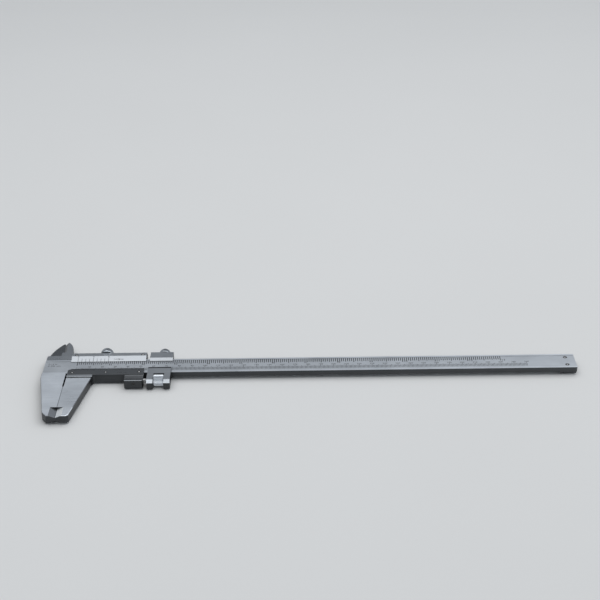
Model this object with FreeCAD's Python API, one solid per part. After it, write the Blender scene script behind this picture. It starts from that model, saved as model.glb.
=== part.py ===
import FreeCAD, Part
import math
import os

# 300 mm / 12 in vernier caliper with fine adjustment, lying on its back with the jaws closed.
# Layout frame, in mm: X = 0 is the closed jaw plane, Y = 0 the beam's centre line,
# Z = 0 the back plane of slider and jaws. Everything is moved to the row's origin at export.

# --- beam ---
beamWidth = 20.0
beamThick = 4.0
travel = 300.0             # full opening of the jaws
railWidth = 1.9            # polished rail along each edge of the graduated face
railHeight = 0.12          # how far the rails stand above the graduated face
beamEndChamfer = 0.5

# --- fits ---
slideClear = 0.05          # slider and clamp channels around the beam
closedGap = 0.01           # between the measuring faces when the jaws are shut
screwFit = 0.05            # radial clearance of a turning screw in its hole
seatFit = 0.01             # radial clearance of a fixed screw in its hole
layerGap = 0.1             # between the two crossing inside jaws

# --- slider and clamp section ---
backPlate = 1.75           # wall behind the beam
frontPlate = 1.75          # vernier plate thickness at its thickest
upperWall = 7.3            # wall above the gib
lowerWall = 4.95           # wall below the beam
gibThick = 0.9
gibPlay = 0.17             # free space on each side of a gib
gibSideClear = 0.12
gibInset = 1.3             # slider gib inside each end of the slider
scaleTopInset = 3.0        # the bevels leave the graduations free between these insets
scaleBottomInset = 6.3     # from the beam's two edges
bevelLip = 0.15            # thickness left at a bevel's thin edge

# --- slider ---
sliderLeft = 0.7
sliderLength = 58.9
ridgeOffset = 1.6          # highest line of the inch plate, above the channel
upperSlopeDrop = 0.7       # fall of the inch plate from that line to the slider's edge
lowerBevelWidth = 5.0
plateCornerX = 2.2         # cut corner of the metric plate
plateCornerY = 3.6
plateEndStep = 0.3
plateEdgeChamfer = 0.3

# --- outside jaws ---
headWidth = 19.3
headTop = 7.3              # height of the head above the beam
jawThick = 6.8
jawDepth = 61.0            # below the beam's edge
jawShoulder = 7.0          # straight side before the taper, below the beam's edge
fixedTipWidth = 10.2
movingJawWidth = 20.4
movingTipWidth = 9.7
tipCornerX = 3.4
tipCornerY = 4.6
movingCornerX = 1.6
movingCornerY = 1.5
jawRootRadius = 2.6        # inside corner between the moving jaw and the slider
jawEdgeChamfer = 0.35
sharpMargin = 1.0          # edges nearer than this to a measuring face stay sharp
headCorner = 1.0
landChamfer = 0.35
reliefDepth = 0.6          # relief behind each measuring face
reliefEnd = 21.0           # end of the relief, below the beam's edge
landWidth = 2.9            # raised land across the top of the moving jaw
edgeBevelWidth = 5.0       # thinned measuring edge at the jaw tips
edgeBevelLength = 11.5
edgeBevelDepth = 2.0

# --- inside jaws ---
layerMid = 3.2             # height of the plane between the two crossing jaws
hornThick = 2.25
insideLine = -8.0          # both inside measuring edges meet here
fixedHornHeight = 27.7     # above the beam's edge
movingHornHeight = 29.5
knifeWidth = 2.4
knifeEdge = 0.3            # thickness left at the measuring edge
knifeBase = 12.5           # lower end of the knife bevel, above the beam's edge
armClear = 0.4             # arm of the moving inside jaw above the beam's edge
armRoot = 2.0              # how far the arm runs into the slider
hornStep = 0.6             # relief of the inside edge below the knife bevel
hornStepFall = 1.0
fixedTipDrop = 2.2         # fixed inside jaw: slanted tip, then a curved back
fixedTipCorner = 0.9
fixedTipTop = 3.2
fixedCurveInset = 1.2
fixedCurveHeight = 21.0
fixedCurveFoot = 14.0
movingTipDrop = 1.5        # moving inside jaw: the same shapes, mirrored
movingTipCorner = 0.7
movingTipTop = 1.6
movingBackInset = 0.5
movingCurveInset = 5.3
movingCurveHeight = 22.5
movingCurveFoot = 11.0
movingHeel = 0.6
movingHeelHeight = 4.0

# --- thumb lug and fine adjustment ---
lugLength = 14.4
lugDepth = 9.0
lugDrop = 0.5              # lug's face below the slider's front
thumbRadius = 9.0
thumbDepth = 0.9
gripCount = 5
gripRadius = 0.3
gripPitch = 1.3
lugCornerRadius = 1.2
rodRadius = 1.75
rodDrop = 3.8              # rod's axis below the slider's edge
rodZ = 4.0
rodInLug = 12.0
rodLength = 31.5
rodTipChamfer = 0.5
nutRadius = 4.2
nutLength = 8.0
nutEndClear = 0.1
clampGap = 2.8             # slider to clamp when closed
fineTravel = 2.4           # the clamp's way towards and away from the slider
clampLength = 17.9
clampEdgeDrop = 0.5        # clamp's upper edge below the slider's
clampFoot = 6.2            # foot below the rod's axis
clampEdgeChamfer = 2.4
clampBevelWidth = 1.4      # short lower bevel; the upper one is wider
clampUpperBevel = 2.3
clampTopChamfer = 0.4
clampGibInset = 1.0
windowFromLeft = 4.9
windowClear = 0.25

# --- screws ---
lockRadius = 1.5
lockHeadRadius = 5.0
lockHeadLength = 4.5
lockNeckRadius = 2.6
lockNeckGap = 0.4          # neck above the slider's edge when loose
lockNeckLength = 0.4
lockFaceRecess = 3.4
lockFaceDepth = 0.5
lockDishRim = 0.6          # the outer face's dish is smaller by this
clampLockHeadRadius = 4.3
clampLockHeadLength = 4.0
lockTipGap = 0.01
sliderLockOffset = 26.4    # from the slider's left end
clampLockOffset = 10.6     # from the clamp's left end
knurlDepth = 0.28
knurlCount = 44
headChamfer = 0.45
setRadius = 1.0
setLength = 3.2
setSink = 0.4
setSpacing = 17.3          # from the slider's lock screw to each gib screw
plateScrewRadius = 0.8
plateHeadRadius = 1.3
plateHeadThick = 0.8
plateScrewGrip = 3.2
slotWidth = 0.35
slotDepth = 0.35
inchScrewRise = 3.76       # above the channel
metricScrewDrop = 1.65     # below the channel
inchScrewInset = 3.4       # from the slider's two ends
metricScrewInset = 3.7
rodSetRadius = 1.25

# --- end stop ---
stopLength = 10.6
stopInset = 0.4            # free end of the beam beyond the stop
stopClear = 0.3            # between the clamp at full travel and the stop
stopSide = 1.0             # the stop is narrower than the beam by this on each side
stopScrewSpacing = 10.8
stopScrewInset = 7.0       # from the beam's free end
stopScrewRadius = 1.0
stopHeadRadius = 1.6
stopHeadCone = 0.6
stopScrewEnd = 0.3
stopHeadRim = 0.2          # straight rim above a screw head's cone
stopHeadSink = 0.2         # rim's lower side below the graduated face

# --- worked out from the sizes above ---
half = beamWidth / 2
beamBack = backPlate + slideClear
beamFront = beamBack + beamThick
beamMid = beamBack + beamThick / 2
channelFront = beamFront + slideClear
sliderFront = channelFront + frontPlate
channelLow = -(half + slideClear)
gibLow = half + gibPlay
gibHigh = gibLow + gibThick
channelHigh = gibHigh + gibPlay
sliderTop = channelHigh + upperWall
sliderBottom = channelLow - lowerWall
sliderRight = sliderLeft + sliderLength
scaleTop = half - scaleTopInset
scaleBottom = -half + scaleBottomInset
upperRidge = channelHigh + ridgeOffset
inchScrewY = channelHigh + inchScrewRise
metricScrewY = channelLow - metricScrewDrop
rodY = sliderBottom - rodDrop
clampLeft = sliderRight + clampGap
clampRight = clampLeft + clampLength
windowLeft = clampLeft + windowFromLeft
windowRight = windowLeft + nutLength + 2 * nutEndClear
clampBottom = rodY - clampFoot
lugLeft = sliderRight - lugLength
lugBottom = sliderBottom - lugDepth
lugFront = sliderFront - lugDrop
rodSetX = (lugLeft + sliderRight) / 2
clampUpperEdge = sliderTop - clampEdgeDrop
sliderLockX = sliderLeft + sliderLockOffset
clampLockX = clampLeft + clampLockOffset
setXs = [sliderLockX - setSpacing, sliderLockX + setSpacing]
beamEnd = clampRight + travel + fineTravel + stopClear + stopLength + stopInset
stopScrewX = beamEnd - stopScrewInset
jawTip = -(half + jawDepth)
headUpper = half + headTop
hornFront = layerMid + layerGap / 2 + hornThick
hornBack = layerMid + layerGap / 2
rearHornFront = layerMid - layerGap / 2
rearHornBack = rearHornFront - hornThick
fixedHornTip = half + fixedHornHeight
movingHornTip = half + movingHornHeight
beyond = 1.0               # how far a cutting tool runs past the face it cuts
touch = 1e-3               # two places this near are the same

# origin of the row: centre of the outer box, at its lowest point
originX = (beamEnd - headWidth) / 2
originY = (movingHornTip + jawTip) / 2
originZ = min(0, beamMid - lockHeadRadius, beamMid - clampLockHeadRadius, rodZ - nutRadius)


def vec(x, y, z):
    return FreeCAD.Vector(x, y, z)


def box(x0, x1, y0, y1, z0, z1):
    return Part.makeBox(x1 - x0, y1 - y0, z1 - z0, vec(x0, y0, z0))


def rod(radius, start, direction, length):
    return Part.makeCylinder(radius, length, start, direction)


def wireOf(points):
    """Closed wire; a pair of points in place of one point is an arc through the first to the second."""
    edges = []
    last = points[0]
    for step in points[1:] + [points[0]]:
        if isinstance(step, tuple):
            edges.append(Part.Arc(last, step[0], step[1]).toShape())
            last = step[1]
        else:
            edges.append(Part.makeLine(last, step))
            last = step
    return Part.Wire(edges)


def slab(outline, z0, z1):
    """An outline of (x, y) places raised from z0 to z1."""
    points = []
    for step in outline:
        if isinstance(step[0], tuple):
            points.append((vec(*step[0], z0), vec(*step[1], z0)))
        else:
            points.append(vec(*step, z0))
    return Part.Face(wireOf(points)).extrude(vec(0, 0, z1 - z0))


def bar(section, x0, x1):
    """A section of (y, z) places drawn out along X."""
    points = [vec(x0, y, z) for y, z in section]
    return Part.Face(wireOf(points)).extrude(vec(x1 - x0, 0, 0))


def wedge(section, y0, y1):
    """A section of (x, z) places drawn out along Y."""
    points = [vec(x, y0, z) for x, z in section]
    return Part.Face(wireOf(points)).extrude(vec(0, y1 - y0, 0))


def cutAll(shape, tools):
    for tool in tools:
        shape = shape.cut(tool)
    return shape.removeSplitter()


def fuseAll(shapes):
    whole = shapes[0]
    for shape in shapes[1:]:
        whole = whole.fuse(shape)
    return whole.removeSplitter()


def knurled(radius, length, start, direction):
    """A straight-knurled roller with broken edges."""
    points = []
    for i in range(knurlCount):
        for part, r in ((0.0, radius), (0.5, radius - knurlDepth)):
            a = 2 * math.pi * (i + part) / knurlCount
            points.append(vec(r * math.cos(a), r * math.sin(a), 0))
    star = Part.Face(wireOf(points)).extrude(vec(0, 0, length))
    c = headChamfer
    side = [vec(0, 0, 0), vec(radius - c, 0, 0), vec(radius, 0, c),
            vec(radius, 0, length - c), vec(radius - c, 0, length), vec(0, 0, length)]
    blank = Part.Face(wireOf(side)).revolve(vec(0, 0, 0), vec(0, 0, 1), 360)
    roller = star.common(blank)
    roller.Placement = FreeCAD.Placement(start, FreeCAD.Rotation(vec(0, 0, 1), direction))
    return roller


def breakEdges(jaw, onOutside):
    """Chamfer a jaw's outline, front and back, where the test says the edge is an outer one."""
    edges = [e for e in jaw.Edges if onOutside(e.CenterOfMass)
             and min(abs(e.CenterOfMass.z), abs(e.CenterOfMass.z - jawThick)) < touch]
    return jaw.makeChamfer(jawEdgeChamfer, edges)


def edgeBevels(side):
    """Cutters that thin the measuring edge at a jaw's tip, front and back; side is -1 or 1."""
    inner = -side * beyond
    outer = side * edgeBevelWidth
    slope = edgeBevelDepth / edgeBevelWidth
    start = jawTip - beyond
    end = jawTip + edgeBevelLength
    front = [(outer, jawThick), (inner, jawThick), (inner, jawThick - edgeBevelDepth - slope * beyond)]
    back = [(outer, 0.0), (inner, 0.0), (inner, edgeBevelDepth + slope * beyond)]
    return [wedge(front, start, end), wedge(back, start, end)]


def makeBeam():
    bar0 = box(-headWidth, beamEnd, -half, half, beamBack, beamFront)
    block = box(-headWidth, -reliefDepth, -half, half, 0, beamBack)
    taperTop = -(half + jawShoulder)
    relief = -(half + reliefEnd)
    jaw = slab([(-headWidth, -half), (-headWidth, taperTop), (-fixedTipWidth, jawTip + tipCornerY),
                (-fixedTipWidth + tipCornerX, jawTip), (0, jawTip), (0, relief),
                (-reliefDepth, relief + reliefDepth), (-reliefDepth, -half)], 0, jawThick)
    jaw = breakEdges(jaw, lambda p: p.x < -sharpMargin and p.y < -half - sharpMargin)
    upper = slab([(-headWidth, half), (-headWidth, headUpper - headCorner),
                  (-headWidth + headCorner, headUpper),
                  (insideLine - hornStep, headUpper),
                  (insideLine - hornStep, half + knifeBase - hornStepFall),
                  (insideLine, half + knifeBase), (insideLine, fixedHornTip - fixedTipDrop),
                  (insideLine + fixedTipCorner, fixedHornTip), (insideLine + fixedTipTop, fixedHornTip),
                  ((-fixedCurveInset, half + fixedCurveHeight), (0, half + fixedCurveFoot)), (0, half)],
                 hornBack, hornFront)
    knife = wedge([(insideLine + knifeWidth, hornFront), (insideLine + knifeWidth, hornFront + beyond),
                   (insideLine - beyond, hornFront + beyond), (insideLine - beyond, hornBack + knifeEdge),
                   (insideLine, hornBack + knifeEdge)], half + knifeBase, fixedHornTip + beyond)
    solid = fuseAll([bar0, block, jaw, upper])
    recess = box(-headWidth - beyond, beamEnd + beyond, -half + railWidth, half - railWidth,
                 beamFront - railHeight, beamFront + beyond)
    tools = [knife, recess] + edgeBevels(-1) + [stopScrewHole(y) for y in stopScrewYs]
    solid = cutAll(solid, tools)
    endEdges = [e for e in solid.Edges if abs(e.CenterOfMass.x - beamEnd) < touch
                and abs(abs(e.CenterOfMass.y) - half) < touch]
    return solid.makeChamfer(beamEndChamfer, endEdges)


def movingHorn():
    back = -headWidth + movingBackInset
    low = half + armClear
    tip = movingHornTip
    plate = slab([(sliderLeft + armRoot, low), (sliderLeft + armRoot, sliderTop), (insideLine, sliderTop),
                  (insideLine, tip - movingTipDrop), (insideLine - movingTipCorner, tip),
                  (insideLine - movingTipTop, tip),
                  ((-headWidth + movingCurveInset, half + movingCurveHeight),
                   (back + movingHeel, half + movingCurveFoot)), (back, low + movingHeelHeight), (back, low)],
                 rearHornBack, rearHornFront)
    knife = wedge([(insideLine - knifeWidth, rearHornBack), (insideLine - knifeWidth, rearHornBack - beyond),
                   (insideLine + beyond, rearHornBack - beyond),
                   (insideLine + beyond, rearHornFront - knifeEdge),
                   (insideLine, rearHornFront - knifeEdge)], half + knifeBase, tip + beyond)
    return plate.cut(knife)


def thumbLug():
    solid = box(lugLeft, sliderRight, lugBottom, sliderBottom, 0, lugFront)
    hollowY = (lugBottom + sliderBottom) / 2
    hollow = rod(thumbRadius, vec(lugLeft - beyond, hollowY, lugFront + thumbRadius - thumbDepth),
                 vec(1, 0, 0), lugLength + 2 * beyond)
    corner = [e for e in solid.Edges if abs(e.CenterOfMass.y - lugBottom) < touch
              and abs(e.CenterOfMass.z - lugFront / 2) < touch]
    solid = solid.makeFillet(lugCornerRadius, corner)
    solid = solid.cut(hollow)
    for i in range(gripCount):
        y = hollowY + (i - (gripCount - 1) / 2) * gripPitch
        sag = thumbRadius - math.sqrt(thumbRadius ** 2 - (y - hollowY) ** 2)
        z = lugFront - thumbDepth + sag
        solid = solid.cut(rod(gripRadius, vec(lugLeft - beyond, y, z), vec(1, 0, 0), lugLength + 2 * beyond))
    return solid


def makeSlider():
    body = box(sliderLeft, sliderRight, sliderBottom, sliderTop, 0, channelFront)
    jawTop = sliderBottom
    relief = -(half + reliefEnd)
    cornerX = closedGap + movingTipWidth
    jaw = slab([(sliderLeft, jawTop), (sliderLeft, relief + reliefDepth), (closedGap, relief),
                (closedGap, jawTip), (cornerX - movingCornerX, jawTip), (cornerX, jawTip + movingCornerY),
                (movingJawWidth, jawTop)], 0, jawThick)
    jaw = breakEdges(jaw, lambda p: p.x > sharpMargin and p.y < jawTop - sharpMargin)
    r = jawRootRadius
    lean = (movingJawWidth - cornerX) / (jawTop - jawTip - movingCornerY)
    side = movingJawWidth - lean * r
    diagonal = r * (1 - math.sqrt(0.5))
    root = slab([(side - beyond, jawTop), (side - beyond, jawTop - r), (side, jawTop - r),
                 ((side + diagonal, jawTop - diagonal), (side + r, jawTop))], 0, jawThick - jawEdgeChamfer)
    land = box(sliderLeft, movingJawWidth, jawTop - landWidth, jawTop, 0, sliderFront)
    ridge = [e for e in land.Edges if abs(e.CenterOfMass.y - (jawTop - landWidth)) < touch
             and abs(e.CenterOfMass.z - sliderFront) < touch]
    land = land.makeChamfer(landChamfer, ridge)
    solid = fuseAll([body, jaw, root, land, movingHorn(), thumbLug()])
    channel = box(sliderLeft - beyond, sliderRight + beyond, channelLow, channelHigh,
                  backPlate, channelFront + beyond)
    tools = [channel] + edgeBevels(1) + sliderBores()
    return cutAll(solid, tools)


def sliderBores():
    bores = [rod(lockRadius + screwFit, vec(sliderLockX, channelHigh - beyond, beamMid), vec(0, 1, 0),
                 upperWall + 2 * beyond)]
    for x in setXs:
        bores.append(rod(setRadius + seatFit, vec(x, channelHigh - beyond, beamMid), vec(0, 1, 0),
                         upperWall + 2 * beyond))
    for x, y in inchScrewPlaces + metricScrewPlaces:
        bores.append(rod(plateScrewRadius + seatFit, vec(x, y, channelFront - plateScrewGrip), vec(0, 0, 1),
                         plateScrewGrip + beyond))
    bores.append(rod(rodRadius + seatFit, vec(sliderRight - rodInLug, rodY, rodZ), vec(1, 0, 0),
                     rodInLug + beyond))
    bores.append(rod(rodSetRadius + seatFit, vec(rodSetX, rodY, rodZ), vec(0, -1, 0),
                     rodY - lugBottom + beyond))
    return bores


def plateScrewHead(x, y, top):
    return rod(plateHeadRadius + seatFit, vec(x, y, top - plateHeadThick), vec(0, 0, 1),
               plateHeadThick + frontPlate)


def makeInchPlate():
    top = sliderFront - upperSlopeDrop
    section = [(scaleTop, channelFront), (sliderTop, channelFront), (sliderTop, top),
               (upperRidge, sliderFront), (scaleTop, channelFront + bevelLip)]
    plate = bar(section, sliderLeft, sliderRight - plateEndStep)
    for x, y in inchScrewPlaces:
        plate = plate.cut(plateScrewHead(x, y, inchHeadTop))
        plate = plate.cut(rod(plateScrewRadius + seatFit, vec(x, y, channelFront - beyond), vec(0, 0, 1),
                              frontPlate + 2 * beyond))
    return plate


def makeMetricPlate():
    c = plateEdgeChamfer
    section = [(scaleBottom, channelFront), (scaleBottom, channelFront + bevelLip),
               (scaleBottom - lowerBevelWidth, sliderFront), (sliderBottom + c, sliderFront),
               (sliderBottom, sliderFront - c), (sliderBottom, channelFront)]
    plate = bar(section, sliderLeft, sliderRight - plateEndStep)
    slope = plateCornerY / plateCornerX
    corner = slab([(sliderLeft - beyond, scaleBottom - plateCornerY - slope * beyond),
                   (sliderLeft + plateCornerX + beyond, scaleBottom + slope * beyond),
                   (sliderLeft - beyond, scaleBottom + slope * beyond)],
                  channelFront - beyond, sliderFront + beyond)
    plate = plate.cut(corner)
    for x, y in metricScrewPlaces:
        plate = plate.cut(plateScrewHead(x, y, sliderFront))
        plate = plate.cut(rod(plateScrewRadius + seatFit, vec(x, y, channelFront - beyond), vec(0, 0, 1),
                              frontPlate + 2 * beyond))
    return plate


def makePlateScrew(x, y, top):
    head = rod(plateHeadRadius, vec(x, y, top - plateHeadThick), vec(0, 0, 1), plateHeadThick)
    shank = rod(plateScrewRadius, vec(x, y, channelFront - plateScrewGrip), vec(0, 0, 1),
                top - plateHeadThick - channelFront + plateScrewGrip)
    slot = box(x - plateHeadRadius, x + plateHeadRadius, y - slotWidth / 2, y + slotWidth / 2,
               top - slotDepth, top + beyond)
    return head.fuse(shank).cut(slot).removeSplitter()


def makeGib(x0, x1):
    return box(x0, x1, gibLow, gibHigh, backPlate + gibSideClear, channelFront - gibSideClear)


def makeLockScrew(x, edge, headRadius, headLength):
    """Knurled lock screw along Y: its tip is on the gib, its head above the given edge."""
    tip = gibHigh + lockTipGap
    neck = edge + lockNeckGap
    headStart = neck + lockNeckLength
    shank = rod(lockRadius, vec(x, tip, beamMid), vec(0, 1, 0), neck - tip)
    collar = rod(lockNeckRadius, vec(x, neck, beamMid), vec(0, 1, 0), lockNeckLength + lockFaceDepth)
    head = knurled(headRadius, headLength, vec(x, headStart, beamMid), vec(0, 1, 0))
    ring = rod(lockFaceRecess, vec(x, headStart - beyond, beamMid), vec(0, 1, 0), beyond + lockFaceDepth)
    dish = rod(lockFaceRecess - lockDishRim, vec(x, headStart + headLength - lockFaceDepth, beamMid),
               vec(0, 1, 0),
               lockFaceDepth + beyond)
    return fuseAll([head.cut(ring).cut(dish), collar, shank])


def makeSetScrew(x):
    top = sliderTop - setSink
    slot = box(x - setRadius, x + setRadius, top - slotDepth, top + beyond,
               beamMid - slotWidth / 2, beamMid + slotWidth / 2)
    bottom = max(top - setLength, channelHigh)
    return rod(setRadius, vec(x, bottom, beamMid), vec(0, 1, 0), top - bottom).cut(slot)


def makeClamp():
    c = clampEdgeChamfer
    t = clampTopChamfer
    section = [(clampUpperEdge, 0), (clampUpperEdge, sliderFront - t), (clampUpperEdge - t, sliderFront),
               (clampBottom + c, sliderFront), (clampBottom, sliderFront - c), (clampBottom, 0)]
    solid = bar(section, clampLeft, clampRight)
    channel = box(clampLeft - beyond, clampRight + beyond, channelLow, channelHigh, backPlate, channelFront)
    lip = channelFront + bevelLip
    opening = bar([(scaleBottom, channelFront - beyond), (scaleBottom, lip),
                   (scaleBottom - clampBevelWidth, sliderFront),
                   (scaleBottom - clampBevelWidth, sliderFront + beyond),
                   (scaleTop + clampUpperBevel, sliderFront + beyond),
                   (scaleTop + clampUpperBevel, sliderFront),
                   (scaleTop, lip), (scaleTop, channelFront - beyond)],
                  clampLeft - beyond, clampRight + beyond)
    window = box(windowLeft, windowRight, clampBottom - beyond, rodY + nutRadius + windowClear,
                 -beyond, sliderFront + beyond)
    tools = [channel, opening, window,
             rod(rodRadius + screwFit, vec(clampLeft - beyond, rodY, rodZ), vec(1, 0, 0),
                 clampLength + 2 * beyond),
             rod(lockRadius + screwFit, vec(clampLockX, channelHigh - beyond, beamMid), vec(0, 1, 0),
                 clampUpperEdge - channelHigh + 2 * beyond)]
    return cutAll(solid, tools)


def makeNut():
    nut = knurled(nutRadius, nutLength, vec(windowLeft + nutEndClear, rodY, rodZ), vec(1, 0, 0))
    return nut.cut(rod(rodRadius + screwFit, vec(windowLeft - beyond, rodY, rodZ), vec(1, 0, 0),
                       nutLength + 4 * beyond))


def makeRod():
    start = sliderRight - rodInLug
    shape = rod(rodRadius, vec(start, rodY, rodZ), vec(1, 0, 0), rodLength)
    ends = [e for e in shape.Edges if abs(e.CenterOfMass.x - start - rodLength) < touch]
    return shape.makeChamfer(rodTipChamfer, ends)


def makeRodSetScrew():
    start = lugBottom + setSink
    length = rodY - rodRadius - start - seatFit
    slot = box(rodSetX - rodSetRadius, rodSetX + rodSetRadius, start - beyond, start + slotDepth,
               rodZ - slotWidth / 2, rodZ + slotWidth / 2)
    return rod(rodSetRadius, vec(rodSetX, start, rodZ), vec(0, 1, 0), length).cut(slot)


def stopScrewBlank(y, extra, end):
    """Countersunk screw through the beam; extra widens it into its hole."""
    rim = beamFront - railHeight - stopHeadSink
    shank = rod(stopScrewRadius + extra, vec(stopScrewX, y, end), vec(0, 0, 1), beamFront - end)
    cone = Part.makeCone(stopScrewRadius + extra, stopHeadRadius + extra, stopHeadCone,
                         vec(stopScrewX, y, rim - stopHeadCone), vec(0, 0, 1))
    top = rod(stopHeadRadius + extra, vec(stopScrewX, y, rim), vec(0, 0, 1), stopHeadRim)
    return fuseAll([shank, cone, top])


def stopScrewHole(y):
    return stopScrewBlank(y, seatFit, -beyond)


def makeStopScrew(y):
    blank = stopScrewBlank(y, 0.0, stopScrewEnd)
    reach = stopHeadRadius + beyond
    above = box(stopScrewX - reach, stopScrewX + reach, y - reach, y + reach,
                beamFront - railHeight, beamFront + beyond)
    slot = box(stopScrewX - reach, stopScrewX + reach, y - slotWidth / 2, y + slotWidth / 2,
               beamFront - railHeight - slotDepth, beamFront)
    return blank.cut(above).cut(slot)


def makeEndStop():
    plate = box(beamEnd - stopInset - stopLength, beamEnd - stopInset, -half + stopSide, half - stopSide,
                0, beamBack)
    for y in stopScrewYs:
        plate = plate.cut(rod(stopScrewRadius + seatFit, vec(stopScrewX, y, -beyond), vec(0, 0, 1),
                              beamBack + 2 * beyond))
    return plate


stopScrewYs = [-stopScrewSpacing / 2, stopScrewSpacing / 2]
inchScrewPlaces = [(x, inchScrewY) for x in (sliderLeft + inchScrewInset, sliderRight - inchScrewInset)]
metricScrewXs = (sliderLeft + metricScrewInset, (sliderLeft + sliderRight) / 2,
                 sliderRight - metricScrewInset)
metricScrewPlaces = [(x, metricScrewY) for x in metricScrewXs]
inchHeadTop = sliderFront - upperSlopeDrop * (inchScrewY - upperRidge) / (sliderTop - upperRidge)

nodes = {
    "beam": makeBeam(),
    "slider": makeSlider(),
    "inch_vernier_plate": makeInchPlate(),
    "metric_vernier_plate": makeMetricPlate(),
    "slider_gib": makeGib(sliderLeft + gibInset, sliderRight - gibInset),
    "slider_lock_screw": makeLockScrew(sliderLockX, sliderTop, lockHeadRadius, lockHeadLength),
    "fine_adjust_clamp": makeClamp(),
    "clamp_gib": makeGib(clampLeft + clampGibInset, clampRight - clampGibInset),
    "clamp_lock_screw": makeLockScrew(clampLockX, clampUpperEdge, clampLockHeadRadius, clampLockHeadLength),
    "fine_adjust_screw": makeRod(),
    "fine_adjust_nut": makeNut(),
    "fine_screw_set_screw": makeRodSetScrew(),
    "end_stop": makeEndStop(),
}
for i, (x, y) in enumerate(inchScrewPlaces):
    nodes["inch_plate_screw_%d" % (i + 1)] = makePlateScrew(x, y, inchHeadTop)
for i, (x, y) in enumerate(metricScrewPlaces):
    nodes["metric_plate_screw_%d" % (i + 1)] = makePlateScrew(x, y, sliderFront)
for i, x in enumerate(setXs):
    nodes["gib_set_screw_%d" % (i + 1)] = makeSetScrew(x)
for i, y in enumerate(stopScrewYs):
    nodes["end_stop_screw_%d" % (i + 1)] = makeStopScrew(y)

os.makedirs("parts", exist_ok=True)
for name, shape in nodes.items():
    placed = shape.copy()
    placed.translate(vec(-originX, -originY, -originZ))
    placed.exportStep("parts/%s.step" % name)
    print("%-22s solids %d  valid %s  volume %9.2f mm3"
          % (name, len(placed.Solids), placed.isValid(), placed.Volume))
print("origin at X %.3f Y %.3f Z %.3f" % (originX, originY, originZ))
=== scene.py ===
# 300 mm / 12 in vernier caliper with fine adjustment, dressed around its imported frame.
import bpy
import math
from mathutils import Matrix, Vector


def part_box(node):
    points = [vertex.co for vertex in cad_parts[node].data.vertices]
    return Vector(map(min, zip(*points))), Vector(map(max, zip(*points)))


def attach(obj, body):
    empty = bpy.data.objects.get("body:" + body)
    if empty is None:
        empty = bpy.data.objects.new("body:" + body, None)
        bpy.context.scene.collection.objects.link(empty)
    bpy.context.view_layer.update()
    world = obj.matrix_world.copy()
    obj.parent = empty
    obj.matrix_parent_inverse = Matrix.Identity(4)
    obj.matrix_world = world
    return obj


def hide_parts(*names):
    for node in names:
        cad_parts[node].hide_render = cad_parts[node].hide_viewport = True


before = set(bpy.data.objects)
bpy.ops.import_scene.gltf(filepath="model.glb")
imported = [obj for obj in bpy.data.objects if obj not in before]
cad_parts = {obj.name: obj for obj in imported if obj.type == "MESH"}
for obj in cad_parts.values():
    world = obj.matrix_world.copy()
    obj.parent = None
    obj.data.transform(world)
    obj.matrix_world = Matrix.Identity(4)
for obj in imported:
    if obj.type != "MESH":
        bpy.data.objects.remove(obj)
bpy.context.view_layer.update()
mm = 0.001
inch = 25.4
print("frame loaded:", len(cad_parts), "nodes")


def boxMm(node):
    low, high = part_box(node)
    return low / mm, high / mm


inchLow = boxMm("inch_vernier_plate")[0]
metricLow, metricHigh = boxMm("metric_vernier_plate")
stopLow, stopHigh = boxMm("end_stop")
nutLow, nutHigh = boxMm("fine_adjust_nut")
rodLow, rodHigh = boxMm("fine_adjust_screw")

layout = {
    "plateInset": 0.7,        # from the jaw plane to the plates' left ends
    "faceAboveStop": 3.88,    # graduated face above the end stop's upper side
    "beamHalf": 10.0,
    "railWidth": 1.9,
}
jawPlane = inchLow.x - layout["plateInset"]
beamLine = (stopLow.y + stopHigh.y) / 2
faceZ = stopHigh.z + layout["faceAboveStop"]
nutAxis = (nutLow + nutHigh) / 2
nutRadius = (nutHigh.z - nutLow.z) / 2
rodAxis = (rodLow + rodHigh) / 2
rodRadius = (rodHigh.z - rodLow.z) / 2
lockAxis = sum(boxMm("slider_lock_screw"), Vector()) / 2
clampLockAxis = sum(boxMm("clamp_lock_screw"), Vector()) / 2


def clearSelection():
    if bpy.context.mode != "OBJECT":
        bpy.ops.object.mode_set(mode="OBJECT")
    bpy.ops.object.select_all(action="DESELECT")


def pick(obj):
    clearSelection()
    obj.select_set(True)
    bpy.context.view_layer.objects.active = obj


def selectFaces(obj, test):
    # leaves edit mode with only the faces that pass the test selected
    bpy.ops.object.mode_set(mode="EDIT")
    bpy.ops.mesh.select_mode(type="FACE")
    bpy.ops.mesh.select_all(action="DESELECT")
    bpy.ops.object.mode_set(mode="OBJECT")
    for face in obj.data.polygons:
        face.select = test(face)
    bpy.ops.object.mode_set(mode="EDIT")


def applyPlace(obj):
    pick(obj)
    bpy.ops.object.transform_apply(location=True, rotation=True, scale=True)


def applyModifiers(obj):
    pick(obj)
    for modifier in list(obj.modifiers):
        bpy.ops.object.modifier_apply(modifier=modifier.name)


def joined(parts, name):
    clearSelection()
    for part in parts:
        part.select_set(True)
    bpy.context.view_layer.objects.active = parts[0]
    if len(parts) > 1:
        bpy.ops.object.join()
    parts[0].name = name
    parts[0].data.name = name
    return parts[0]


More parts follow.
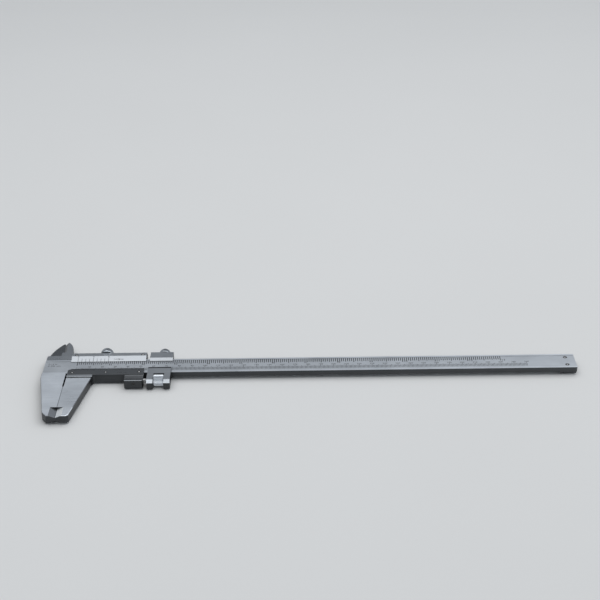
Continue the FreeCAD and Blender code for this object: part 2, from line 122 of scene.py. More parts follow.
class Wire:
    # a socket that does sums: an expression on it adds its Math nodes
    def __init__(self, finish, socket):
        self.finish = finish
        self.socket = socket

    def sum(self, operation, *values):
        return self.finish.node("ShaderNodeMath", {"operation": operation}, dict(enumerate(values)))

    def __add__(self, other):
        return self.sum("ADD", self, other)

    def __radd__(self, other):
        return self.sum("ADD", other, self)

    def __sub__(self, other):
        return self.sum("SUBTRACT", self, other)

    def __rsub__(self, other):
        return self.sum("SUBTRACT", other, self)

    def __mul__(self, other):
        return self.sum("MULTIPLY", self, other)

    def __rmul__(self, other):
        return self.sum("MULTIPLY", other, self)

    def __pow__(self, other):
        return self.sum("POWER", self, other)

    def __abs__(self):
        return self.sum("ABSOLUTE", self)

    def least(self, other):
        return self.sum("MINIMUM", self, other)

    def ramp(self, low, high):
        # 0 below low, 1 above high, smooth between; low may be the larger
        return self.finish.node("ShaderNodeMapRange", {"interpolation_type": "SMOOTHSTEP"},
                                {"Value": self, "From Min": low, "From Max": high})


class Finish:
    # one material; every texture works in mm of the piece's own coordinates
    def __init__(self, name, centre=(0.0, 0.0, 0.0), tree=None):
        if tree is None:
            self.material = bpy.data.materials.new(name)
            self.material.use_nodes = True
        self.tree = tree or self.material.node_tree
        self.tree.nodes.clear()
        if tree:
            return
        self.place = self.node("ShaderNodeTexCoord", {}, {}, "Object")
        self.place = self.node("ShaderNodeMapping", {}, {
            "Vector": self.place, "Scale": (1 / mm,) * 3, "Location": tuple(-c for c in centre)})
        self.x, self.y, self.z = self.parts(self.place)
        self.facing = self.parts(self.node("ShaderNodeTexCoord", {}, {}, "Normal"))

    def node(self, kind, settings, values, output=0):
        made = self.tree.nodes.new(kind)
        for key, value in settings.items():
            setattr(made, key, value)
        for key, value in values.items():
            if isinstance(value, Wire):
                self.tree.links.new(value.socket, made.inputs[key])
            else:
                made.inputs[key].default_value = value
        return Wire(self, made.outputs[output])

    def parts(self, vector):
        split = self.tree.nodes.new("ShaderNodeSeparateXYZ")
        self.tree.links.new(vector.socket, split.inputs[0])
        return [Wire(self, out) for out in split.outputs]

    def noise(self, scale, detail=2.0, rough=0.5, seed=0.0):
        # scale is waves per mm along x, y and z
        spot = self.node("ShaderNodeMapping", {}, {
            "Vector": self.place, "Scale": scale, "Location": (seed, seed * 1.7, seed * 0.6)})
        return self.node("ShaderNodeTexNoise", {}, {
            "Vector": spot, "Scale": 1.0, "Detail": detail, "Roughness": rough})

    def mixed(self, amount, a, b):
        def full(colour):
            return colour if isinstance(colour, Wire) else (*colour, 1.0)
        return self.node("ShaderNodeMix", {"data_type": "RGBA"}, {0: amount, 6: full(a), 7: full(b)}, 2)

    def tinted(self, colour, amount):
        # colour multiplied by a grey amount
        grey = self.node("ShaderNodeCombineColor", {}, {"Red": amount, "Green": amount, "Blue": amount})
        return self.node("ShaderNodeMix", {"data_type": "RGBA", "blend_type": "MULTIPLY"},
                         {0: 1.0, 6: colour if isinstance(colour, Wire) else (*colour, 1.0), 7: grey}, 2)

    def done(self, colour, roughness, bump, metallic=1.0, bumpHeight=0.004, **constants):
        relief = self.node("ShaderNodeBump", {}, {
            "Strength": 1.0, "Distance": bumpHeight * mm, "Height": bump}, "Normal")
        shader = self.node("ShaderNodeBsdfPrincipled", {}, {
            "Base Color": colour if isinstance(colour, Wire) else (*colour, 1.0),
            "Roughness": roughness, "Metallic": metallic, "Normal": relief})
        for key, value in constants.items():
            shader.socket.node.inputs[key].default_value = value
        out = self.tree.nodes.new("ShaderNodeOutputMaterial")
        self.tree.links.new(shader.socket, out.inputs["Surface"])
        return self.material


def dress(material, *nodes):
    for name in nodes:
        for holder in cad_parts[name].material_slots:
            holder.material = material


def layered(base, *layers):
    # base is a tone and a roughness; each layer covers the ones before it where its mask is 1
    tone, rough = base
    for mask, (value, polish) in layers:
        tone = mask * (value - tone) + tone
        rough = mask * (polish - rough) + rough
    return tone, rough


steel = {
    "tint": (0.955, 1.0, 1.05),       # cool cast of hard chrome
    "brush": (0.04, 3.2, 3.2),        # waves per mm
    "grain": (5.0, 5.0, 5.0),
    "scratch": (0.06, 9.0, 9.0),
    "scratchShows": (0.70, 0.78),     # noise levels between which a scratch comes out
    "smudge": (0.045, 0.06, 0.06),
    "jawEdge": (0.30, 0.12),          # mm either side of the jaw plane
    "jawEdgeLoss": 0.7,               # share of tone taken off the jaws' measuring edges as painted shade
}


def steelLayers(f, seed):
    # the marks that every ground steel face carries
    streak = f.noise(steel["brush"], 3.0, 0.6, seed) - 0.5
    grain = f.noise(steel["grain"], 2.0, 0.7, seed + 9)
    scratch = f.noise(steel["scratch"], 1.0, 0.4, seed + 15).ramp(*steel["scratchShows"])
    smudge = f.noise(steel["smudge"], 3.0, 0.55, seed + 21)
    return streak, grain, scratch, smudge


def jawEdgeShare(f, mask):
    # painted shade along a jaw's measuring edge: the share of tone left there
    return 1.0 - mask * abs(f.x).ramp(*steel["jawEdge"]) * steel["jawEdgeLoss"]


beamLook = {
    "satin": (0.53, 0.38),       # tone and roughness of the graduated face
    "rail": (0.62, 0.36),
    "head": (0.33, 0.30),        # strip above the beam
    "horn": (0.29, 0.30),        # fixed inside jaw
    "jaw": (0.72, 0.32),
    # side: upright faces painted dark as shade
    "side": (0.075, 0.38),
    "lapped": (0.60, 0.16),      # measuring faces
    "edgeBevel": (0.24, 0.30),   # thinned edge at the jaw's tip, painted dark as shade
    "endRise": 0.13,             # painted light: how much brighter the face is at its far end
    "satinCalm": 0.6,            # share of the streaks that the satin face loses
    "streak": (0.50, 0.10),      # how much each mark changes tone and roughness
    "smudge": (0.34, 0.16),
    "grain": (0.12, 0.08),
    "scratch": 0.10,
    "grainBump": (0.15, 0.8),    # relief of the grain, and what satin adds to it
    "streakBump": 0.7,
    "scratchBump": 0.5,
}

# mm where a mask starts and where it is full; x is from the jaw plane
beamZones = {
    "railBlend": 0.1,            # half the border between a rail and the satin face
    "edgeBlend": 0.05,           # half the border along the beam's edges
    "horn": (7.2, 7.5),          # above the beam's upper edge
    "tip": (48.5, 49.5),         # below its lower edge
    "tipRight": (-6.5, -6.0),
    "lappedLeft": (-1.0, -0.4),
    "lappedRight": (0.5, 1.0),
    "rise": (150.0, 390.0),
}

# how squarely a face looks along an axis, 1 when fully: where a mask starts and where it is full
squareness = {
    "beamUp": (0.55, 0.9),
    "beamSlant": (0.99, 0.96),
    "lapped": (0.9, 0.98),
    "sliderUp": (0.45, 0.8),
    "sliderFlat": (0.975, 0.995),
    "plateUp": (0.5, 0.9),
    "knurlEnd": (0.55, 0.8),
}


def beamFinish():
    f = Finish("beam_ground_and_satin_chrome", (jawPlane, beamLine, faceZ))
    streak, grain, scratch, smudge = steelLayers(f, seed=2.0)
    look = beamLook
    zone = beamZones
    half = layout["beamHalf"]
    inner = half - layout["railWidth"]
    up = abs(f.facing[2]).ramp(*squareness["beamUp"])
    satin = abs(f.y).ramp(inner + zone["railBlend"], inner - zone["railBlend"]) * up
    head = f.y.ramp(half - zone["edgeBlend"], half + zone["edgeBlend"])
    horn = f.y.ramp(half + zone["horn"][0], half + zone["horn"][1]) * up
    jaw = f.y.ramp(-half + zone["edgeBlend"], -half - zone["edgeBlend"])
    tip = f.y.ramp(-half - zone["tip"][0], -half - zone["tip"][1]) * f.x.ramp(*zone["tipRight"])
    # slant: the fixed jaw's thinned tip, whose dark tone is painted shade
    slant = abs(f.facing[2]).ramp(*squareness["beamSlant"]) * up * tip
    lapped = abs(f.facing[0]).ramp(*squareness["lapped"]) * f.x.ramp(*zone["lappedLeft"])
    lapped = lapped * (1.0 - f.x.ramp(*zone["lappedRight"])) * jaw
    # the side tone is painted shade on the upright faces
    tone, rough = layered(look["rail"], (satin, look["satin"]), (jaw, look["jaw"]), (head, look["head"]),
                          (horn, look["horn"]), (1.0 - up, look["side"]), (slant, look["edgeBevel"]),
                          (lapped, look["lapped"]))
    # the rise is painted light towards the face's far end
    tone = tone * (1.0 + f.x.ramp(*zone["rise"]) * look["endRise"]) * jawEdgeShare(f, jaw * up)
    tone = tone * (1.0 + streak * look["streak"][0] * (1.0 - satin * look["satinCalm"])
                   + (smudge - 0.5) * look["smudge"][0] + (grain - 0.5) * look["grain"][0])
    tone = tone + scratch * look["scratch"]
    rough = (rough + (smudge - 0.5) * look["smudge"][1] + streak * look["streak"][1]
             + (grain - 0.5) * look["grain"][1])
    bump = (grain * (satin * look["grainBump"][1] + look["grainBump"][0])
            + streak * (1.0 - satin) * look["streakBump"] - scratch * look["scratchBump"])
    return f.done(f.tinted(steel["tint"], tone), rough, bump)


sliderLook = {
    "top": (0.35, 0.32),
    "jaw": (0.67, 0.32),
    "horn": (0.13, 0.30),        # moving inside jaw, behind the fixed one, painted dark as shade
    "lug": (0.10, 0.44),         # thumb hollow and grip grooves, painted dark as shade
    "lip": (0.95, 0.28),         # rounded lower edge of the lug, painted bright as a highlight
    # side: upright faces painted dark as shade
    "side": (0.07, 0.40),
    "bevel": (0.40, 0.30),
    "foot": (0.84, 0.30),        # chamfer along the clamp's lower edge, painted bright as a highlight
    "farLip": (0.03, 0.45),      # painted shade line along the clamp's edge over the beam
    "rear": (0.12, 0.32),        # strip behind the inch plate, painted dark as shade
    "edgeBevel": (0.98, 0.52),   # thinned edge at the jaw's tip, painted bright as a highlight
    "streak": (0.50, 0.12),      # how much each mark changes tone and roughness
    "smudge": (0.34, 0.18),
    "grain": 0.10,
    "scratch": 0.08,
    "streakBump": 0.8,
    "grainBump": 0.2,
    "scratchBump": 0.5,
}

# as above; y is from the beam's centre line unless a note says otherwise
sliderZones = {
    "jaw": (7.8, 8.2),           # below the beam's lower edge
    "jawRight": (22.0, 21.0),
    "lug": (0.1, 0.4),           # below the metric plate's lower edge
    "lugLeft": (30.0, 31.0),
    "lip": (-22.7, -23.1),
    "farLip": (-6.75, -6.55),
    "farLipTop": (0.5, 0.0),
    "rear": (12.8, 13.0),
    "rearLeft": (0.9, 1.1),
    "horn": (7.2, 7.5),          # above the beam's upper edge
    "hornRight": (-1.0, -1.5),
    "tip": (-58.5, -59.5),
}


def sliderFinish(name, seed, hasLug):
    # hasLug is 1 on the slider, whose thumb lug is painted darker as shade, and 0 on the clamp
    f = Finish(name, (jawPlane, beamLine, faceZ))
    streak, grain, scratch, smudge = steelLayers(f, seed)
    look = sliderLook
    zone = sliderZones
    half = layout["beamHalf"]
    plateEdge = metricLow.y - beamLine
    up = abs(f.facing[2]).ramp(*squareness["sliderUp"])
    flat = abs(f.facing[2]).ramp(*squareness["sliderFlat"])
    lugSide = f.x.ramp(*zone["lugLeft"])
    jaw = f.y.ramp(-half - zone["jaw"][0], -half - zone["jaw"][1]) * f.x.ramp(*zone["jawRight"])
    lug = f.y.ramp(plateEdge - zone["lug"][0], plateEdge - zone["lug"][1]) * lugSide
    lip = f.y.ramp(*zone["lip"]) * up
    farLip = f.y.ramp(*zone["farLip"]) * f.y.ramp(*zone["farLipTop"])
    rear = f.y.ramp(*zone["rear"]) * f.x.ramp(*zone["rearLeft"])
    horn = f.y.ramp(half + zone["horn"][0], half + zone["horn"][1]) * f.x.ramp(*zone["hornRight"]) * up
    tip = f.y.ramp(*zone["tip"])
    tone, rough = layered(look["side"], (up, look["bevel"]), (flat, look["top"]), (flat * jaw, look["jaw"]),
                          (rear * up * hasLug, look["rear"]), (horn * hasLug, look["horn"]),
                          (lug * up * hasLug, look["lug"]), (lip * lugSide * hasLug, look["lip"]),
                          (lip * (1.0 - flat) * (1.0 - hasLug), look["foot"]),
                          (farLip * up * (1.0 - hasLug), look["farLip"]),
                          ((1.0 - flat) * up * tip, look["edgeBevel"]))
    tone = tone * jawEdgeShare(f, jaw * up)
    tone = tone * (1.0 + streak * look["streak"][0] + (smudge - 0.5) * look["smudge"][0]
                   + (grain - 0.5) * look["grain"]) + scratch * look["scratch"]
    rough = rough + (smudge - 0.5) * look["smudge"][1] + streak * look["streak"][1]
    bump = streak * look["streakBump"] + grain * look["grainBump"] - scratch * look["scratchBump"]
    return f.done(f.tinted(steel["tint"], tone), rough, bump)


plateLook = {
    "inch": (0.46, 0.36),
    # metric: the same satin chrome as the inch plate, painted dark as shade because its face slopes away
    "metric": (0.115, 0.36),
    "edge": 0.55,                # share of the tone kept on the plates' upright edges, darkened as painted shade
    "smudge": (0.18, 0.14),      # how much each mark changes tone and roughness
    "grain": (0.10, 0.10),
    "scratch": 0.05,
    "streakBump": 0.25,
}


def plateFinish(name, tone, rough, seed):
    f = Finish(name, (jawPlane, beamLine, faceZ))
    streak, grain, scratch, smudge = steelLayers(f, seed)
    look = plateLook
    up = abs(f.facing[2]).ramp(*squareness["plateUp"])
    # upright edges darkened as painted shade
    tone = tone * (up * (1.0 - look["edge"]) + look["edge"])
    tone = tone * (1.0 + (smudge - 0.5) * look["smudge"][0] + (grain - 0.5) * look["grain"][0])
    tone = tone + scratch * look["scratch"]
    rough = rough + (smudge - 0.5) * look["smudge"][1] + (grain - 0.5) * look["grain"][1]
    return f.done(f.tinted(steel["tint"], tone), rough, grain + streak * look["streakBump"])


nutLook = {
    "crest": (0.84, 0.34),
    "valley": (0.50, 0.46),
    "face": (0.60, 0.26),
    "rim": (0.90, 0.26),
}

lockLook = {
    "crest": (0.50, 0.26),
    "valley": (0.12, 0.46),
    # face: the end faces, painted dark as shade of the near face's recess
    "face": (0.16, 0.30),
    "rim": (0.98, 0.22),         # turned chamfer around the end faces, painted bright as a highlight
}

knurl = {
    "depth": 0.34,               # with its rounding
    "crestBlend": 0.04,          # mm below the crests where the oil begins
    "rim": (0.62, 0.70),         # shares of the radius
    "lockRadius": 5.0,
    "clampLockRadius": 4.3,
    "rings": 38.0,               # radians per mm of the turned rings
    "ringBump": 0.3,
    "grainBump": 0.4,
    "smudge": (0.2, 0.14),       # how much it changes tone and roughness
    "grain": 0.08,
    "grooveShade": (0.7, 0.6),         # painted shade in the grooves, and what the smudges add to it
    "smudgeSize": (0.25, 0.25, 0.25),
}


def knurlFinish(name, look, axis, radius, alongX, seed):
    # bright crests, painted shade in the grooves, turned rings on the end faces
    f = Finish(name, tuple(axis))
    u = f.y if alongX else f.x
    reach = (u * u + f.z * f.z) ** 0.5
    endOn = abs(f.facing[0] if alongX else f.facing[1]).ramp(*squareness["knurlEnd"])
    groove = reach.ramp(radius - knurl["crestBlend"], radius - knurl["depth"]) * (1.0 - endOn)
    rings = f.node("ShaderNodeMath", {"operation": "SINE"}, {0: reach * knurl["rings"]})
    smudge = f.noise(knurl["smudgeSize"], 3.0, 0.6, seed)
    grain = f.noise(steel["grain"], 2.0, 0.7, seed + 3)
    # painted shade in the knurl grooves, uneven where smudged
    grooveShade = (groove * (knurl["grooveShade"][0] + smudge * knurl["grooveShade"][1])).least(1.0)
    # rim: a ring on each end face painted bright as the highlight of the turned chamfer
    rim = endOn * reach.ramp(radius * knurl["rim"][0], radius * knurl["rim"][1])
    tone, rough = layered(look["crest"], (grooveShade, look["valley"]), (endOn, look["face"]), (rim, look["rim"]))
    tone = tone * (1.0 + (smudge - 0.5) * knurl["smudge"][0] + (grain - 0.5) * knurl["grain"])
    rough = rough + (smudge - 0.5) * knurl["smudge"][1]
    bump = rings * endOn * knurl["ringBump"] + grain * knurl["grainBump"]
    return f.done(f.tinted(steel["tint"], tone), rough, bump)


screwLook = {
    "crown": (0.95, 0.24),       # middle of the head, painted bright as a highlight
    "shade": (0.07, 0.42),       # painted shade around it
    "crownReach": 0.60,          # mm from the axis
    "crownBlend": 0.12,
    "tint": (1.0, 0.99, 0.97),
    "smudgeSize": (0.5, 0.5, 0.5),
    "grainSize": (9.0, 9.0, 9.0),
    "base": 0.8,                 # share of tone before the marks
    "smudge": (0.4, 0.16),       # how much it changes tone and roughness
    "grain": 0.2,
}


def screwFinish(*names):
    look = screwLook
    for seed, name in enumerate(names):
        low, high = boxMm(name)
        f = Finish(name + "_head_steel_painted_light", tuple((low + high) / 2))
        reach = (f.x * f.x + f.y * f.y) ** 0.5
        smudge = f.noise(look["smudgeSize"], 3.0, 0.6, seed * 3.0)
        grain = f.noise(look["grainSize"], 2.0, 0.7, seed + 3.0)
        # a painted highlight in the middle of the head, painted shade around it
        crown = reach.ramp(look["crownReach"] + look["crownBlend"], look["crownReach"] - look["crownBlend"])
        tone, rough = layered(look["shade"], (crown, look["crown"]))
        tone = tone * (look["base"] + smudge * look["smudge"][0] + (grain - 0.5) * look["grain"])
        rough = rough + (smudge - 0.5) * look["smudge"][1]
        dress(f.done(f.tinted(look["tint"], tone), rough, grain), name)


bronzeLook = {
    "fresh": (0.62, 0.42, 0.20),
    "dull": (0.34, 0.21, 0.10),
    "dulled": (0.42, 0.62),      # noise levels between which the bronze turns dull
    "rough": 0.36,
    "dullRough": 0.18,           # roughness that the dull patches add
    "streakSize": (0.05, 5.0, 5.0),
    "patchSize": (0.12, 0.5, 0.5),
    "streak": (0.85, 0.3),       # share of tone before the streaks, and what they add
}


def bronzeFinish():
    f = Finish("gib_phosphor_bronze")
    look = bronzeLook
    streak = f.noise(look["streakSize"], 3.0, 0.6, 3.0)
    dulled = f.noise(look["patchSize"], 4.0, 0.6, 8.0).ramp(*look["dulled"])
    share = look["streak"][0] + streak * look["streak"][1]
    colour = f.tinted(f.mixed(dulled, look["fresh"], look["dull"]), share)
    return f.done(colour, look["rough"] + dulled * look["dullRough"], streak)


inkLook = {
    "dark": (0.012, 0.013, 0.016),
    "worn": (0.10, 0.105, 0.11),
    "wear": (0.52, 0.78),        # noise levels between which the ink looks worn
    "rough": 0.50,
    "grainRough": 0.2,
    "wearSize": (0.3, 0.3, 0.3),
    "grainSize": (12.0, 12.0, 12.0),
    "relief": 0.002,             # mm
}


def inkFinish():
    f = Finish("engraving_black")
    look = inkLook
    wear = f.noise(look["wearSize"], 4.0, 0.65, 5.0).ramp(*look["wear"])
    grain = f.noise(look["grainSize"], 2.0, 0.6, 2.0)
    return f.done(f.mixed(wear, look["dark"], look["worn"]), look["rough"] + grain * look["grainRough"],
                  grain, metallic=0.0, bumpHeight=look["relief"])


inkMaterial = inkFinish()
dress(beamFinish(), "beam", "end_stop")
dress(sliderFinish("slider_ground_steel", seed=31.0, hasLug=1.0), "slider")
dress(sliderFinish("clamp_ground_steel", seed=47.0, hasLug=0.0), "fine_adjust_clamp")
dress(plateFinish("inch_plate_satin_chrome", *plateLook["inch"], seed=12.0), "inch_vernier_plate")
# the metric plate's dark tone is painted shade on the same satin chrome
dress(plateFinish("metric_plate_satin_chrome", *plateLook["metric"], seed=19.0), "metric_vernier_plate")
dress(knurlFinish("nut_knurled_steel", nutLook, nutAxis, nutRadius, alongX=True, seed=5.0),
      "fine_adjust_nut")
dress(knurlFinish("lock_screw_knurled_steel", lockLook, lockAxis, knurl["lockRadius"],
                  alongX=False, seed=14.0), "slider_lock_screw")
dress(knurlFinish("clamp_screw_knurled_steel", lockLook, clampLockAxis, knurl["clampLockRadius"],
                  alongX=False, seed=23.0), "clamp_lock_screw")
screwFinish("inch_plate_screw_1", "inch_plate_screw_2", "metric_plate_screw_1", "metric_plate_screw_2",
            "metric_plate_screw_3", "gib_set_screw_1", "gib_set_screw_2", "fine_screw_set_screw",
            "end_stop_screw_1", "end_stop_screw_2")
dress(bronzeFinish(), "slider_gib", "clamp_gib")
print("finishes on the frame's pieces")


scale = {
    "zero": 6.0,               # first line from the jaw plane
    "proud": 0.02,             # filled line above its face
    "sunk": 0.04,
    "inchLine": 0.66,
    "inchStep": inch / 16,
    "inchCount": 208,
    "inchTop": 7.95,           # lines start here, from the beam's centre line
    "inchRanks": ((1, 2), (2, 4), (4, 8), (8, 16), (0, 16)),   # first line and step of each length
    "inchLengths": (4.5, 4.7, 5.1, 5.7, 6.3),
    "mmLine": 0.40,
    "mmCount": 350,
    "mmLow": -6.3,
    "mmLengths": (3.7, 4.3, 4.8),
    "taper": (0.86, 0.99, 1.0),  # a line's upper side over its lower one
    "inchNumbers": 13,
    "inchDigit": 2.3,          # height of the numerals
    "inchDigitPlace": (0.6, 1.5),   # right of the line, above the beam's centre line
    "centimetres": 35,
    "mmDigit": 1.7,
    "mmDigitUp": -1.15,
    "rangeDigit": 1.7,
    "rangeLeft": -16.6,        # range text from the jaw plane
    "rangeUp": (3.4, 0.6),     # inch and millimetre ranges above the beam's centre line
    "digitToSize": 1.42,       # text size over the height of its digits
    "curveSteps": 3,
}


def lineRow(name, start, step, count, width, low, high, z):
    # one filled line, narrowed towards its top, then copied along the scale
    clearSelection()
    thick = scale["proud"] + scale["sunk"]
    bpy.ops.mesh.primitive_cube_add(size=1, location=(start * mm, (low + high) / 2 * mm,
                                                      (z + scale["proud"] - thick / 2) * mm))
    row = bpy.context.object
    row.name = name
    row.scale = (width * mm, (high - low) * mm, thick * mm)
    applyPlace(row)
    selectFaces(row, lambda face: face.normal.z > 0.9)
    bpy.ops.transform.resize(value=scale["taper"])
    bpy.ops.object.mode_set(mode="OBJECT")
    if count > 1:
        array = row.modifiers.new("repeat", "ARRAY")
        array.count = count
        array.use_relative_offset = False
        array.use_constant_offset = True
        array.constant_offset_displace = (step * mm, 0, 0)
        applyModifiers(row)
    return row


def label(text, height, x, y, z, align="LEFT"):
    clearSelection()
    bpy.ops.object.text_add(location=(0, 0, 0))
    made = bpy.context.object
    made.data.body = text
    made.data.size = height * scale["digitToSize"] * mm
    made.data.align_x = align
    made.data.resolution_u = scale["curveSteps"]
    made.data.extrude = (scale["proud"] + scale["sunk"]) / 2 * mm
    pick(made)
    bpy.ops.object.convert(target="MESH")
    made = bpy.context.object
    made.location = (x * mm, y * mm, (z + (scale["proud"] - scale["sunk"]) / 2) * mm)
    applyPlace(made)
    return made


def marked(parts, name, body):
    # joins a set of marks, gives them the ink and hands them to their body
    marks = joined(parts, name)
    marks.data.materials.clear()
    marks.data.materials.append(inkMaterial)
    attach(marks, body)
    return marks


def beamScales():
    s = scale
    zero = jawPlane + s["zero"]
    inches = []
    for rank, (first, step) in enumerate(s["inchRanks"]):
        count = (s["inchCount"] - first) // step + 1
        inches.append(lineRow("inch_line", zero + first * s["inchStep"], step * s["inchStep"], count,
                              s["inchLine"], beamLine + s["inchTop"] - s["inchLengths"][rank],
                              beamLine + s["inchTop"], faceZ))
    marked(inches, "beam_inch_lines", "beam")
    metric = []
    for first in range(10):
        rank = {0: 2, 5: 1}.get(first, 0)
        count = (s["mmCount"] - first) // 10 + 1
        metric.append(lineRow("mm_line", zero + first, 10, count, s["mmLine"], beamLine + s["mmLow"],
                              beamLine + s["mmLow"] + s["mmLengths"][rank], faceZ))
    marked(metric, "beam_millimetre_lines", "beam")
    right, up = s["inchDigitPlace"]
    numbers = [label(str(n), s["inchDigit"], zero + n * inch + right, beamLine + up, faceZ)
               for n in range(1, s["inchNumbers"] + 1)]
    marked(numbers, "beam_inch_numbers", "beam")
    numbers = [label(str(n * 10), s["mmDigit"], zero + n * 10, beamLine + s["mmDigitUp"], faceZ, "CENTER")
               for n in range(1, s["centimetres"] + 1)]
    marked(numbers, "beam_millimetre_numbers", "beam")
    rows = [label(words, s["rangeDigit"], jawPlane + s["rangeLeft"], beamLine + height, faceZ)
            for words, height in zip(("0-12 in", "0-300 mm"), s["rangeUp"])]
    marked(rows, "beam_range_text", "beam")


vernier = {
    "inchDivisions": 8,
    "inchStep": 2.977,
    "line": 0.30,
    "inchLengths": (3.2, 4.2),
    "inchSlope": math.atan2(1.6, 5.84),   # rise over width of the plate's sloping face
    "mmDivisions": 50,
    "mmStep": 0.98,
    "mmLengths": (2.6, 3.5),
    "mmSlope": math.atan2(1.6, 5.0),
    "edgeGap": 0.05,           # from the thin edge to where a line starts
    "inchDigit": 1.5,
    "inchDigitGap": 0.3,       # from a long line's end to its number
    "inchNumbered": (0, 4, 8),
    "inchUnitDigit": 1.7,
    "inchUnit": (27.6, 1.5),   # unit from the first line and from the thin edge
    "mmNumbered": 5,           # every fifth line is long and numbered
    "mmDigit": 1.25,
    "mmDigitDrop": 1.55,       # number's foot from a long line's end
    "mmUnitDigit": 1.6,
    "mmUnit": (33.0, 1.9),     # unit from the first line and from the plate's lower edge
    "lip": 0.15,               # plates' thickness at their thin edges
    "plateUnder": 0.17,        # plates' underside above the graduated face
}


def tilted(parts, name, edgeY, slope):
    # marks laid out flat from the plate's thin edge, then turned up its slope
    marks = marked(parts, name, "slider")
    marks.rotation_euler = (slope, 0, 0)
    marks.location = (0, edgeY * mm, (faceZ + vernier["plateUnder"] + vernier["lip"]) * mm)
    applyPlace(marks)
    return marks


def vernierScales():
    v = vernier
    zero = jawPlane + scale["zero"]
    parts = []
    for n in range(v["inchDivisions"] + 1):
        parts.append(lineRow("line", zero + n * v["inchStep"], 0, 1, v["line"], v["edgeGap"],
                             v["inchLengths"][n in v["inchNumbered"]], 0))
    for n in v["inchNumbered"]:
        parts.append(label(str(n), v["inchDigit"], zero + n * v["inchStep"],
                           v["inchLengths"][1] + v["inchDigitGap"], 0, "CENTER"))
    parts.append(label("1/128 in", v["inchUnitDigit"], zero + v["inchUnit"][0], v["inchUnit"][1], 0))
    tilted(parts, "inch_vernier_marks", inchLow.y, v["inchSlope"])
    parts = []
    for n in range(v["mmDivisions"] + 1):
        parts.append(lineRow("line", zero + n * v["mmStep"], 0, 1, v["line"],
                             -v["mmLengths"][n % v["mmNumbered"] == 0], -v["edgeGap"], 0))
    for n in range(v["mmDivisions"] // v["mmNumbered"] + 1):
        parts.append(label(str(n % 10), v["mmDigit"], zero + n * v["mmNumbered"] * v["mmStep"],
                           -v["mmLengths"][1] - v["mmDigitDrop"], 0, "CENTER"))
    tilted(parts, "millimetre_vernier_marks", metricHigh.y, -v["mmSlope"])
    unit = label("0.02 mm", v["mmUnitDigit"], zero + v["mmUnit"][0], metricLow.y + v["mmUnit"][1],
                 metricHigh.z)
    marked([unit], "millimetre_vernier_text", "slider")


beamScales()
vernierScales()
print("graduations")


thread = {
    "pitch": 0.5,
    "depth": 0.3,
    "turns": 38,
    "steps": 20,
    "tipClear": 0.6,           # plain end beyond the last turn
    "coreSides": 32,
    "endInset": 0.45,
    "endBevel": 0.35,
    "bevelSteps": 2,
    "ridgeSquash": (0.9, 1.0, 1.0),
    "crestBlend": 0.05,        # mm below the crests that are still fully bright
    "tone": (0.24, 0.45),      # in the grooves, darkened as painted shade, and what the crests add
    "rough": (0.42, -0.16),
    "smudge": (0.2, 0.1),      # how much it changes tone and roughness
    "smudgeSize": (0.4, 0.4, 0.4),
    "tint": (1.0, 1.0, 0.99),
}


def fineScrew():
    t = thread
    length = rodHigh.x - rodLow.x
    core = rodRadius - t["depth"]
    clearSelection()
    bpy.ops.mesh.primitive_cylinder_add(vertices=t["coreSides"], radius=core * mm, depth=length * mm,
                                        calc_uvs=False)
    shank = bpy.context.object
    selectFaces(shank, lambda face: abs(face.normal.z) > 0.9)
    bpy.ops.mesh.inset(thickness=t["endInset"] * mm)
    bpy.ops.object.mode_set(mode="OBJECT")
    pick(shank)
    bevel = shank.modifiers.new("edge", "BEVEL")
    bevel.width = t["endBevel"] * mm
    bevel.segments = t["bevelSteps"]
    bevel.limit_method = "ANGLE"
    applyModifiers(shank)
    shank.rotation_euler = (0, math.pi / 2, 0)
    shank.location = rodAxis * mm
    applyPlace(shank)
    clearSelection()
    bpy.ops.mesh.primitive_circle_add(vertices=3, radius=t["depth"] * mm, calc_uvs=False)
    ridge = bpy.context.object
    bpy.ops.object.mode_set(mode="EDIT")
    bpy.ops.mesh.select_all(action="SELECT")
    bpy.ops.transform.resize(value=t["ridgeSquash"])
    bpy.ops.transform.translate(value=(0, core * mm, 0))
    bpy.ops.object.mode_set(mode="OBJECT")
    screw = ridge.modifiers.new("thread", "SCREW")
    screw.axis = "X"
    screw.screw_offset = t["pitch"] * mm
    screw.iterations = t["turns"]
    screw.steps = t["steps"]
    screw.render_steps = t["steps"]
    applyModifiers(ridge)
    bpy.ops.object.mode_set(mode="EDIT")
    bpy.ops.mesh.select_all(action="DESELECT")
    bpy.ops.mesh.select_mode(type="EDGE")
    bpy.ops.mesh.select_non_manifold()
    bpy.ops.mesh.fill_holes(sides=3)
    bpy.ops.mesh.select_all(action="SELECT")
    bpy.ops.mesh.normals_make_consistent(inside=False)
    bpy.ops.object.mode_set(mode="OBJECT")
    start = rodHigh.x - t["tipClear"] - t["turns"] * t["pitch"]
    ridge.location = (start * mm, rodAxis.y * mm, rodAxis.z * mm)
    applyPlace(ridge)
    whole = joined([shank, ridge], "threaded_fine_screw")
    whole.data.materials.clear()
    whole.data.materials.append(threadFinish())
    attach(whole, "slider")
    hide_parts("fine_adjust_screw")
    return whole


def threadFinish():
    f = Finish("screw_thread_steel", tuple(rodAxis))
    t = thread
    reach = (f.y * f.y + f.z * f.z) ** 0.5
    # grooves painted dark as shade, crests lighter and smoother
    crest = reach.ramp(rodRadius - t["depth"], rodRadius - t["crestBlend"])
    smudge = f.noise(t["smudgeSize"], 3.0, 0.6, 4.0)
    tone = t["tone"][0] + crest * t["tone"][1] + (smudge - 0.5) * t["smudge"][0]
    rough = t["rough"][0] + crest * t["rough"][1] + (smudge - 0.5) * t["smudge"][1]
    return f.done(f.tinted(t["tint"], tone), rough, smudge)


fineScrew()
print("threaded screw")


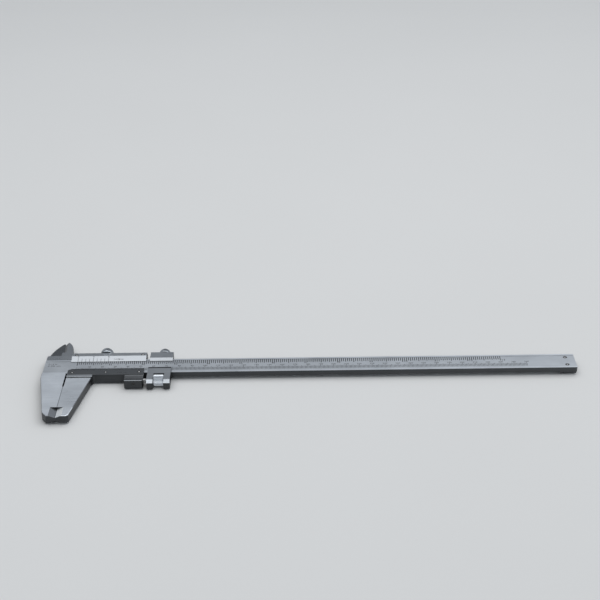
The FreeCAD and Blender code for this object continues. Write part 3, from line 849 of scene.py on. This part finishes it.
studio = {
    "floorSize": 7.0,
    "floorColour": (0.66, 0.66, 0.65),
    "floorPatches": (0.004, 0.004, 0.004),   # waves per mm
    "floorGrain": (0.9, 0.9, 0.9),
    "floorTone": (0.97, 0.04, 0.02),     # share of the colour, then what patches and grain add
    "floorRough": (0.85, 0.1),           # and what grain adds
    "floorRelief": 0.03,                 # mm
    "worldLow": (0.13, 0.135, 0.14),     # near the horizon
    "worldHigh": (0.50, 0.53, 0.57),     # from about 25 degrees up
    "worldRise": (0.16, 0.42),           # heights between which it brightens
    "worldLean": 0.7,                    # how much brighter it is to the right
    "keyPower": 20.0,
    "keySize": (2.6, 2.1),
    "keyPlace": (0.1, 0.2, 1.5),
    "keyAim": (0.1, 0.2, 0.0),
}


def floorFinish():
    f = Finish("matt_board")
    s = studio
    patches = f.noise(s["floorPatches"], 3.0, 0.5, 1.0)
    grain = f.noise(s["floorGrain"], 2.0, 0.6, 6.0)
    share, patchShare, grainShare = s["floorTone"]
    colour = f.tinted(s["floorColour"], share + patches * patchShare + grain * grainShare)
    rough = s["floorRough"][0] + grain * s["floorRough"][1]
    return f.done(colour, rough, grain, metallic=0.0, bumpHeight=s["floorRelief"])


def areaLight(name, place, target, size, power):
    light = bpy.data.lights.new(name, "AREA")
    light.shape = "RECTANGLE"
    light.size, light.size_y = size
    light.energy = power
    lamp = bpy.data.objects.new(name, light)
    bpy.context.scene.collection.objects.link(lamp)
    lamp.location = place
    lamp.rotation_euler = (Vector(target) - Vector(place)).to_track_quat("-Z", "Y").to_euler()
    return lamp


def buildStudio():
    s = studio
    clearSelection()
    bpy.ops.mesh.primitive_plane_add(size=s["floorSize"], location=(0, 0, 0))
    floor = bpy.context.object
    floor.name = "floor"
    floor.data.materials.append(floorFinish())
    areaLight("overhead_panel", s["keyPlace"], s["keyAim"], s["keySize"], s["keyPower"])
    world = bpy.data.worlds.new("studio")
    world.use_nodes = True
    sky = Finish("sky", tree=world.node_tree)
    direction = sky.parts(sky.node("ShaderNodeTexCoord", {}, {}, "Generated"))
    colour = sky.mixed(direction[2].ramp(*s["worldRise"]), s["worldLow"], s["worldHigh"])
    colour = sky.tinted(colour, 1.0 + direction[0] * s["worldLean"])
    light = sky.node("ShaderNodeBackground", {}, {"Color": colour})
    out = sky.tree.nodes.new("ShaderNodeOutputWorld")
    sky.tree.links.new(light.socket, out.inputs["Surface"])
    bpy.context.scene.world = world
    bpy.context.scene.view_settings.view_transform = "Standard"


view = {
    "place": (-3.95, -874.55, 540.2),   # mm
    "down": 28.17,                      # degrees below the horizon
    "turn": 0.18,
    "roll": -0.80,
    "lens": 79.91,
    "sensor": 36.0,
    "clip": (0.05, 20.0),               # m
}


def buildCamera():
    data = bpy.data.cameras.new("camera")
    data.lens = view["lens"]
    data.sensor_width = view["sensor"]
    data.clip_start, data.clip_end = view["clip"]
    camera = bpy.data.objects.new("camera", data)
    bpy.context.scene.collection.objects.link(camera)
    camera.matrix_world = (Matrix.Translation(Vector(view["place"]) * mm)
                           @ Matrix.Rotation(math.radians(view["turn"]), 4, "Z")
                           @ Matrix.Rotation(math.radians(90 - view["down"]), 4, "X")
                           @ Matrix.Rotation(math.radians(view["roll"]), 4, "Z"))
    bpy.context.scene.camera = camera


buildStudio()
buildCamera()
print("studio")
